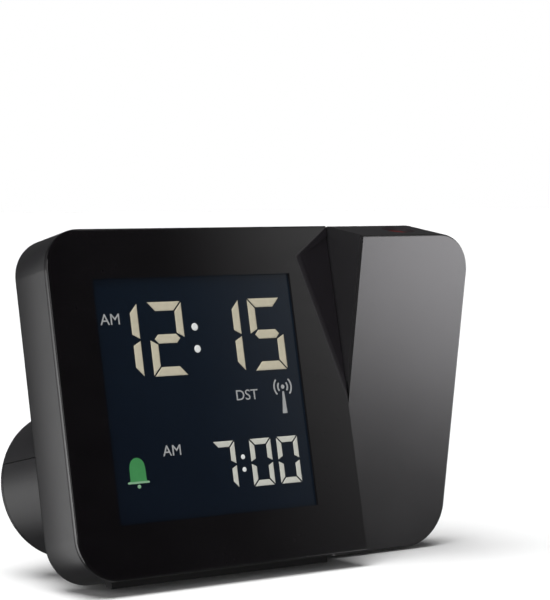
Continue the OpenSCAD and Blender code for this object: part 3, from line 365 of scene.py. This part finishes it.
# %% Boards, chip and rod
BOARD_TRACK, BOARD_MASK = (0.030, 0.150, 0.060), (0.012, 0.085, 0.035)
board_green = Finish("board_green", Coat_Weight=0.4, Coat_Roughness=0.2)
track_cells = {"Vector": board_green.place, "Scale": 330.0}
tracks = board_green.node("ShaderNodeTexVoronoi", {"feature": "DISTANCE_TO_EDGE"}, track_cells)
off_track = board_green.spread(tracks, 0.03, 0.10)
board_green.shade({"Base Color": board_green.between(BOARD_TRACK, BOARD_MASK, off_track)})
board_green.shade({"Roughness": 0.3 + off_track * 0.15})
board_green.emboss(off_track, 0.04 * MM, 0.4)
give(board_green, "main_board", "arm_board", "lamp_board")
chip_epoxy = moulding("chip_epoxy", (0.012, 0.012, 0.012), (0.028, 0.028, 0.028), 0.6, grain=5000)
give(chip_epoxy, "control_chip")
ROD_DARK, ROD_LIGHT = (0.030, 0.030, 0.031), (0.062, 0.061, 0.060)
rod_ferrite = moulding("rod_ferrite", ROD_DARK, ROD_LIGHT, 0.65, grain=3500, depth=0.08)
give(rod_ferrite, "ferrite_rod")

# %% White mouldings, light guide and contact strips
STRIP_DARK, STRIP_PINK = (0.05, 0.04, 0.05), (0.72, 0.34, 0.38)
white_moulding = moulding("white_moulding", (0.70, 0.70, 0.68), (0.82, 0.82, 0.80), 0.5, grain=1500)
give(white_moulding, "diffuser_sheet", "display_frame", "lamp_housing")
clear_acrylic = Finish("clear_acrylic", Transmission_Weight=0.9, IOR=1.49)
guide_haze = clear_acrylic.noise(300, 3)
clear_acrylic.shade({"Base Color": clear_acrylic.between((0.85, 0.9, 0.92), (0.95, 0.97, 0.98), guide_haze)})
clear_acrylic.shade({"Roughness": 0.05 + guide_haze * 0.1})
give(clear_acrylic, "light_guide")
strip_layers = Finish("strip_layers")
layer_waves = {"Vector": strip_layers.place, "Scale": 900.0}
layers = strip_layers.node("ShaderNodeTexWave", {"bands_direction": "X"}, layer_waves)
strip_layers.shade({"Base Color": strip_layers.between(STRIP_DARK, STRIP_PINK, layers)})
strip_layers.shade({"Roughness": 0.5 + layers * 0.15})
give(strip_layers, "contact_strips")

# %% Battery cells
SLEEVE_BLUE, BAND_SILVER = (0.045, 0.055, 0.075), (0.55, 0.55, 0.56)
cell_sleeve = Finish("cell_sleeve", Coat_Weight=0.35, Coat_Roughness=0.15)
sleeve_waves = {"Vector": cell_sleeve.place, "Scale": 21.0}
bands = cell_sleeve.node("ShaderNodeTexWave", {"bands_direction": "X"}, sleeve_waves)
metal_band = cell_sleeve.spread(bands, 0.86, 0.9)
print_haze = cell_sleeve.noise(240, 3)
cell_sleeve.shade({"Base Color": cell_sleeve.between(SLEEVE_BLUE, BAND_SILVER, metal_band)})
cell_sleeve.shade({"Metallic": metal_band, "Roughness": 0.22 + print_haze * 0.16})
give(cell_sleeve, "battery_cells")

# %% [markdown]
# ## Lamp and lenses
# The lamp and both lenses are tinted red. With the lamp on, the lens in the top is the one bright thing on
# the
# block, so the lenses glow by themselves: painted light, as the lamp's light through them is given as their
# own glow, with a faint unevenness from dust.

# %% Lamp and lenses
lamp_tint = Finish("lamp_tint", Emission_Strength=2.0)
lamp_depth = lamp_tint.noise(500, 2)
lamp_tint.shade({"Base Color": lamp_tint.between((0.55, 0.02, 0.02), (0.75, 0.05, 0.03), lamp_depth)})
lamp_tint.shade({"Emission Color": lamp_tint.between((0.7, 0.02, 0.015), (1.0, 0.08, 0.05), lamp_depth)})
lamp_tint.shade({"Roughness": 0.12 + lamp_depth * 0.1})
give(lamp_tint, "lamp")
# painted light: the lenses are no lamps; their emission stands in for the lamp's light shining through them
lens_lit = Finish("lens_lit", Coat_Weight=1.0, Coat_Roughness=0.02, Emission_Strength=9.0)
dust_and_painted_glow = lens_lit.noise(900, 3)
lens_lit.shade({"Base Color": lens_lit.between((0.42, 0.03, 0.02), (0.50, 0.06, 0.05), dust_and_painted_glow)})
lens_lit.shade({"Emission Color": lens_lit.between((0.85, 0.014, 0.010), (1.0, 0.035, 0.024), dust_and_painted_glow)})
lens_lit.shade({"Roughness": 0.05 + dust_and_painted_glow * 0.08})
give(lens_lit, "projector_lens", "condenser_lens")

# %% [markdown]
# ## The display
# Each figure is cut as seven-segment figures are: upright bars with mitred ends. A picture on the pane would
# show its pixels close up, so every bar starts as a few corners, is drawn out to a thin plate with sloping
# shoulders, and a slightly larger black plate lies below it: a painted shadow that rims each bar.

# %% Segment shapes
# The top bar is a, the others follow clockwise to f, and g is the middle one.
SEGMENTS = {"0": "abcdef", "1": "bc", "2": "abged", "5": "afgcd", "7": "abc"}
GAP = 0.3


def bar_corners(key, width, height, thick_v, thick_h):
    """The corners of one bar in an upright figure whose lower left corner is the origin."""
    middle, inner = height / 2, thick_v + GAP
    if key == "a":
        low = height - thick_h
        return [(GAP, height), (width - GAP, height), (width - inner, low), (inner, low)]
    if key == "g":
        ends = thick_v / 2 + GAP
        upper, lower = middle + thick_h / 2, middle - thick_h / 2
        return [(ends, middle), (inner, upper), (width - inner, upper), (width - ends, middle),
                (width - inner, lower), (inner, lower)]
    if key == "f":
        return [(0, height - GAP), (thick_v, height - thick_h - GAP),
                (thick_v, middle + thick_h / 2 + GAP), (0, middle + GAP)]
    if key in "de":
        source = "a" if key == "d" else "f"
        return [(x, height - y) for x, y in bar_corners(source, width, height, thick_v, thick_h)]
    source = "f" if key == "b" else "e"
    return [(width - x, y) for x, y in bar_corners(source, width, height, thick_v, thick_h)]


print("bars cut:", sum(len(keys) for keys in SEGMENTS.values()), "for the figures", ", ".join(SEGMENTS))

# %% Plates
SHOULDER_FALL = 0.6


def lay_plates(mesh, raised, edge=0.0, slope=0.0):
    """Draws flat faces out to thin plates, widened by the edge first, with sloping shoulders on top."""
    if edge:
        faces = list(mesh.faces)
        bmesh.ops.inset_region(mesh, faces=faces, thickness=edge, use_outset=True, use_even_offset=True)
    bmesh.ops.recalc_face_normals(mesh, faces=mesh.faces)
    for face in mesh.faces:
        if face.normal.z < 0:
            face.normal_flip()
    drawn = bmesh.ops.extrude_face_region(mesh, geom=list(mesh.faces))["geom"]
    risen = [item for item in drawn if isinstance(item, bmesh.types.BMVert)]
    bmesh.ops.translate(mesh, verts=risen, vec=(0, 0, raised))
    if slope:
        tops = [item for item in drawn if isinstance(item, bmesh.types.BMFace)]
        fall = slope * SHOULDER_FALL
        bmesh.ops.inset_region(mesh, faces=tops, thickness=slope, depth=fall, use_even_offset=True)
    bmesh.ops.recalc_face_normals(mesh, faces=mesh.faces)


# %% Pieces on the pane
PANE_FRONT = 0.8
INK_DEPTH = 0.03
PAINTED_SHADOW_WIDTH = 0.34


def stand(name, data):
    """An object of that data in the scene."""
    made = bpy.data.objects.new(name, data)
    bpy.context.scene.collection.objects.link(made)
    return made


def settle(name, mesh, finish):
    """Makes a piece of a drawing: its place on the pane goes into the mesh, and it rides on the case."""
    data = bpy.data.meshes.new(name)
    mesh.to_mesh(data)
    mesh.free()
    data.transform(drawing_board(PANE_FRONT))
    data.materials.append(finish.material)
    piece = stand(name, data)
    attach(piece, "case")
    print(name, "in", finish.material.name, "with", len(data.polygons), "faces")


# %% Inks


def ink(name, colour_low, colour_high, roughness=0.35, glow=0.0):
    """A printed ink that glows a little where the display is lit through it."""
    made = Finish(name, Coat_Weight=0.4, Coat_Roughness=0.05, Emission_Strength=glow)
    unevenness = made.noise(700, 2)
    colour = made.between(colour_low, colour_high, unevenness)
    made.shade({"Base Color": colour, "Roughness": roughness + unevenness * 0.1})
    if glow:
        made.shade({"Emission Color": colour})
    print("ink:", name)
    return made


cream_ink = ink("cream_ink", (0.345, 0.315, 0.235), (0.430, 0.395, 0.300), glow=0.2)
pale_ink = ink("pale_ink", (0.37, 0.37, 0.33), (0.44, 0.44, 0.395), glow=0.2)
dot_ink = ink("dot_ink", (0.52, 0.53, 0.52), (0.60, 0.61, 0.60), glow=0.2)
grey_ink = ink("grey_ink", (0.24, 0.245, 0.245), (0.31, 0.315, 0.315), glow=0.12)
green_ink = ink("green_ink", (0.027, 0.166, 0.047), (0.037, 0.213, 0.062), glow=0.12)
pale_green_ink = ink("pale_green_ink", (0.15, 0.29, 0.17), (0.19, 0.34, 0.21), glow=0.12)
# painted shadow: a near-black plate a little larger than each figure lies under it as a shadow round its bars
painted_shadow_black = ink("painted_shadow_black", (0.0010, 0.0012, 0.0018), (0.0022, 0.0024, 0.0034), 0.2)

# %% Big and small figures
BIG = dict(base=53.15, height=20.3, width=11.2, thick_v=2.36, thick_h=2.46)
SMALL = dict(base=21.2, height=13.1, width=7.22, thick_v=1.57, thick_h=1.62)
BIG_FIGURES = [("1", 15.75), ("2", 30.1), ("1", 49.2), ("5", 63.55)]
SMALL_FIGURES = [("7", 46.15), ("0", 58.45), ("0", 67.7)]
BIG_DOTS, BIG_DOT_RADIUS = [(45.0, 66.2), (45.1, 60.1)], 1.05
SMALL_DOTS, SMALL_DOT_RADIUS = [(55.8, 29.6), (55.8, 26.1)], 0.66
BIG_SLOPE, SMALL_SLOPE = 0.3, 0.2


def draw_figures(figures, base, height, width, thick_v, thick_h):
    mesh = bmesh.new()
    for digit, left in figures:
        for key in SEGMENTS[digit]:
            corners = bar_corners(key, width, height, thick_v, thick_h)
            mesh.faces.new([mesh.verts.new((left + x, base + y, 0)) for x, y in corners])
    return mesh


def draw_dots(mesh, dots, radius):
    for x, y in dots:
        centre = Matrix.Translation((x, y, 0))
        bmesh.ops.create_circle(mesh, cap_ends=True, segments=32, radius=radius, matrix=centre)
    return mesh


def set_in_pane(name, draw, finish, slope):
    """Lays a drawing on the pane twice: a black one that is a little larger, a painted shadow round its bars,
    and the inked one on it.
    """
    below = draw()
    lay_plates(below, INK_DEPTH, edge=PAINTED_SHADOW_WIDTH)
    settle(name + "_edge", below, painted_shadow_black)
    above = draw()
    lay_plates(above, 2 * INK_DEPTH, slope=slope)
    settle(name, above, finish)


set_in_pane("time_figures", lambda: draw_figures(BIG_FIGURES, **BIG), cream_ink, BIG_SLOPE)
set_in_pane("alarm_figures", lambda: draw_figures(SMALL_FIGURES, **SMALL), pale_ink, SMALL_SLOPE)
set_in_pane("time_colon", lambda: draw_dots(bmesh.new(), BIG_DOTS, BIG_DOT_RADIUS), dot_ink, BIG_SLOPE)
set_in_pane("alarm_colon", lambda: draw_dots(bmesh.new(), SMALL_DOTS, SMALL_DOT_RADIUS), dot_ink, SMALL_SLOPE)

# %% [markdown]
# ## Small signs of the display
# The half-day letters and the summer-time letters are plain narrow capitals. Type can't be drawn with mesh
# operators, so it starts as a text object and becomes a mesh. The bell and the mast are silhouettes: the
# waves of the mast are short lines that are spun round its knob, and the bell is one face.

# %% Letters
WELD = 0.001


def letters(name, words, left, base, height, width):
    """Writes words so that their box is exactly as wide and as high as asked, then makes them a mesh."""
    curve = bpy.data.curves.new(name, "FONT")
    curve.body = words
    curve.extrude = INK_DEPTH
    writer = stand(name, curve)
    bpy.context.view_layer.update()
    data = bpy.data.meshes.new_from_object(writer.evaluated_get(bpy.context.evaluated_depsgraph_get()))
    bpy.data.objects.remove(writer)
    low = [min(v.co[i] for v in data.vertices) for i in range(3)]
    high = [max(v.co[i] for v in data.vertices) for i in range(3)]
    wanted = (width, height, 2 * INK_DEPTH)
    mesh = bmesh.new()
    mesh.from_mesh(data)
    bpy.data.meshes.remove(data)
    bmesh.ops.translate(mesh, verts=mesh.verts, vec=[-v for v in low])
    bmesh.ops.scale(mesh, verts=mesh.verts, vec=[size / (b - a) for size, a, b in zip(wanted, low, high)])
    bmesh.ops.translate(mesh, verts=mesh.verts, vec=(left, base, 0))
    bmesh.ops.remove_doubles(mesh, verts=mesh.verts, dist=WELD)
    bmesh.ops.recalc_face_normals(mesh, faces=mesh.faces)
    settle(name, mesh, grey_ink)


letters("sign_am_time", "AM", left=15.0, base=67.75, height=2.95, width=6.1)
letters("sign_am_alarm", "AM", left=29.9, base=31.6, height=2.85, width=5.8)
letters("sign_dst", "DST", left=56.1, base=45.2, height=2.85, width=7.3)

# %% Mast with its waves
MAST_TOP, MAST_KNOB = (72.2, 48.2), 0.6
MAST_FOOT = (72.0, 40.75)
FOOT_HALF, NECK_HALF, NECK_DROP = 0.8, 0.28, 1.3
WAVES = [(1.65, 42), (2.95, 44)]
WAVE_HALF, WAVE_STEPS = 0.24, 14


def draw_wave(mesh, radius, reach, side):
    """One arc round the knob: a short line across it, spun through twice its reach in degrees."""
    start = Matrix.Rotation(math.radians(side - reach), 4, "Z")
    across = (Vector((radius + d, 0, 0)) for d in (-WAVE_HALF, WAVE_HALF))
    ends = [mesh.verts.new(Vector((*MAST_TOP, 0)) + start @ arm) for arm in across]
    line = mesh.edges.new(ends)
    bmesh.ops.spin(mesh, geom=[line, *ends], cent=(*MAST_TOP, 0), axis=(0, 0, 1),
                   angle=math.radians(2 * reach), steps=WAVE_STEPS)


def draw_mast():
    mesh = draw_dots(bmesh.new(), [MAST_TOP], MAST_KNOB)
    (top_x, top_y), (foot_x, foot_y) = MAST_TOP, MAST_FOOT
    neck_y = top_y - NECK_DROP
    stem = [(foot_x - FOOT_HALF, foot_y), (foot_x + FOOT_HALF, foot_y),
            (top_x + NECK_HALF, neck_y), (top_x - NECK_HALF, neck_y)]
    mesh.faces.new([mesh.verts.new((x, y, 0)) for x, y in stem])
    for radius, reach in WAVES:
        for side in (0, 180):
            draw_wave(mesh, radius, reach, side)
    return mesh


def place_sign(name, mesh, finish):
    lay_plates(mesh, 2 * INK_DEPTH)
    settle(name, mesh, finish)


place_sign("sign_mast", draw_mast(), grey_ink)

# %% Bell
BELL_X, BELL_TOP = 21.25, 31.85
BELL_SIDE = [(0.9, 31.65), (1.7, 31.1), (2.2, 30.3), (2.45, 29.2), (2.5, 27.6), (2.55, 25.9), (2.7, 25.5)]
RIM_LOW, RIM_HIGH, RIM_HALF, RIM_ROUND = 24.95, 25.5, 3.4, 0.25
CLAPPER_Y, CLAPPER_RADIUS = 24.15, 0.52


def draw_bell():
    """The bell as one face: down its right side, and up the left one, which mirrors it."""
    mesh = bmesh.new()
    right = [mesh.verts.new((BELL_X + x, y, 0)) for x, y in BELL_SIDE]
    left = [mesh.verts.new((BELL_X - x, y, 0)) for x, y in reversed(BELL_SIDE)]
    top = mesh.verts.new((BELL_X, BELL_TOP, 0))
    mesh.faces.new([top, *right, *left])
    return mesh


def draw_rim():
    """The bell's rim as a bar with rounded ends, and the clapper under it."""
    mesh = bmesh.new()
    corners = [(-RIM_HALF, RIM_LOW), (RIM_HALF, RIM_LOW), (RIM_HALF, RIM_HIGH), (-RIM_HALF, RIM_HIGH)]
    mesh.faces.new([mesh.verts.new((BELL_X + x, y, 0)) for x, y in corners])
    bmesh.ops.bevel(mesh, geom=mesh.verts[:], offset=RIM_ROUND, affect="VERTICES", segments=5, profile=0.5,
                    material=-1)
    return draw_dots(mesh, [(BELL_X, CLAPPER_Y)], CLAPPER_RADIUS)


place_sign("sign_bell", draw_bell(), green_ink)
place_sign("sign_bell_rim", draw_rim(), pale_green_ink)

# %% [markdown]
# ## Camera
# The view comes from solving for the lens and the place together, with the known outlines of the case. Set by
# eye, the two would trade against each other: a nearer, wider lens fills the frame just as well but bends the
# box. It is a long lens, so the front keeps its parallels almost parallel.

# %% Camera
FOCAL_PIXELS = 2197.185
PICTURE_WIDTH, PICTURE_HEIGHT = 550, 600
SENSOR = 36.0
CAMERA_PLACE = (-0.36041, -0.50786, 0.10679)
CAMERA_SIGHT = Vector((0.59181, 0.80450, -0.05038))


def aim(thing, direction):
    thing.rotation_euler = direction.to_track_quat("-Z", "Y").to_euler()


camera_data = bpy.data.cameras.new("camera")
camera = stand("camera", camera_data)
camera_data.sensor_width = SENSOR
camera_data.lens = FOCAL_PIXELS * SENSOR / max(PICTURE_WIDTH, PICTURE_HEIGHT)
camera_data.clip_start, camera_data.clip_end = 0.02, 50
camera.location = CAMERA_PLACE
aim(camera, CAMERA_SIGHT)
bpy.context.scene.camera = camera
print("lens, mm:", round(camera_data.lens, 1))

# %% [markdown]
# ## Studio
# A white table under one wide soft sun gives the same light everywhere and a soft shadow under the clock.
# What the glossy parts mirror is a separate matter: the room has a few bright panels at chosen bearings,
# feathered at their edges, and is dim elsewhere, and neither the table nor the sun shows in the gloss. Lamps
# with real faces could do that too, but each would also light the table. The camera itself sees the room as
# plain white.

# %% Table
TABLE_HALF = 8.0
floor_paint = Finish("floor_paint", Roughness=0.9, Specular_IOR_Level=0.1)
paper = floor_paint.noise(25, 3)
floor_paint.shade({"Base Color": floor_paint.between((0.86, 0.86, 0.86), (0.88, 0.88, 0.88), paper)})
floor_mesh = bmesh.new()
bmesh.ops.create_grid(floor_mesh, x_segments=4, y_segments=4, size=TABLE_HALF)
floor_data = bpy.data.meshes.new("table_top")
floor_mesh.to_mesh(floor_data)
floor_mesh.free()
floor_data.materials.append(floor_paint.material)
table_top = stand("table_top", floor_data)
table_top.visible_glossy = False
print("table, m:", 2 * TABLE_HALF, "square")

# %% Sun
SUN_STRENGTH = 3.75
SUN_WIDTH = 45
SUN_DIRECTION = Vector((0.30, 0.10, -1.0))
sun_data = bpy.data.lights.new("soft_sun", "SUN")
sun_data.energy = SUN_STRENGTH
sun_data.angle = math.radians(SUN_WIDTH)
soft_sun = stand("soft_sun", sun_data)
soft_sun.visible_glossy = False
aim(soft_sun, SUN_DIRECTION)
print("sun:", SUN_WIDTH, "degrees wide")

# %% Room with bright panels
DIM_ROOM = 0.07
PANELS = [
    # bearing from and to in degrees (0 is in front of the clock, 90 on its right), height from and to, the
    # width of the feathered band at each of the four, brightness
    (38.5, 75, -16.3, 3, (4.5, 10, 7.2, 4), 3.45),
    (38.1, 42.5, 11.7, 40, (5.8, 3, 14.5, 8), 1.0),
    (42.5, 75, 8, 40, (3, 8, 6, 8), 0.22),
    (-30, 75, 6, 40, (6, 6, 4, 8), -0.045),
    (-150, -105, -45, -2, (14, 6, 6, 6), 2.3),
    (-150, -105, -2, 30, (14, 6, 6, 6), 0.45),
    (-136, -116, -9, 3, (6, 6, 4, 4), 1.6),
    (-75, -38, 2, 34, (6, 6, 6, 6), 2.7),
]


class Room(Net):
    """The world, with its own tree."""

    def __init__(self, name):
        self.world = bpy.data.worlds.new(name)
        self.world.use_nodes = True
        self.tree = self.world.node_tree
        self.tree.nodes.clear()
        bpy.context.scene.world = self.world

    def step(self, value, place, feather):
        """0 below a place in degrees and 1 above it, with a feathered band between."""
        low, high = math.radians(place - feather / 2), math.radians(place + feather / 2)
        return self.spread(value, low, high, smooth=True)


room = Room("studio_room")
direction = room.node("ShaderNodeTexCoord", out="Generated")
x, y, z = (room.node("ShaderNodeSeparateXYZ", None, {0: direction}, out=axis) for axis in "XYZ")
bearing = room.node("ShaderNodeMath", {"operation": "ARCTAN2"}, {0: x, 1: y * -1})
climb = room.node("ShaderNodeMath", {"operation": "ARCSINE"}, {0: z})
glow = DIM_ROOM
for left, right, low, high, (at_left, at_right, at_low, at_high), brightness in PANELS:
    across = room.step(bearing, left, at_left) * (1 - room.step(bearing, right, at_right))
    upward = room.step(climb, low, at_low) * (1 - room.step(climb, high, at_high))
    glow = glow + across * upward * brightness
dim = room.node("ShaderNodeBackground", None, {"Color": (1, 1, 1, 1), "Strength": glow})
white = room.node("ShaderNodeBackground", None, {"Color": (1, 1, 1, 1), "Strength": 1.0})
seen = room.node("ShaderNodeLightPath", out="Is Camera Ray")
either = room.node("ShaderNodeMixShader", None, {0: seen, 1: dim, 2: white})
room.node("ShaderNodeOutputWorld", None, {"Surface": either}, out=None)
bpy.context.scene.view_settings.view_transform = "Standard"
print("panels in the room:", len(PANELS))
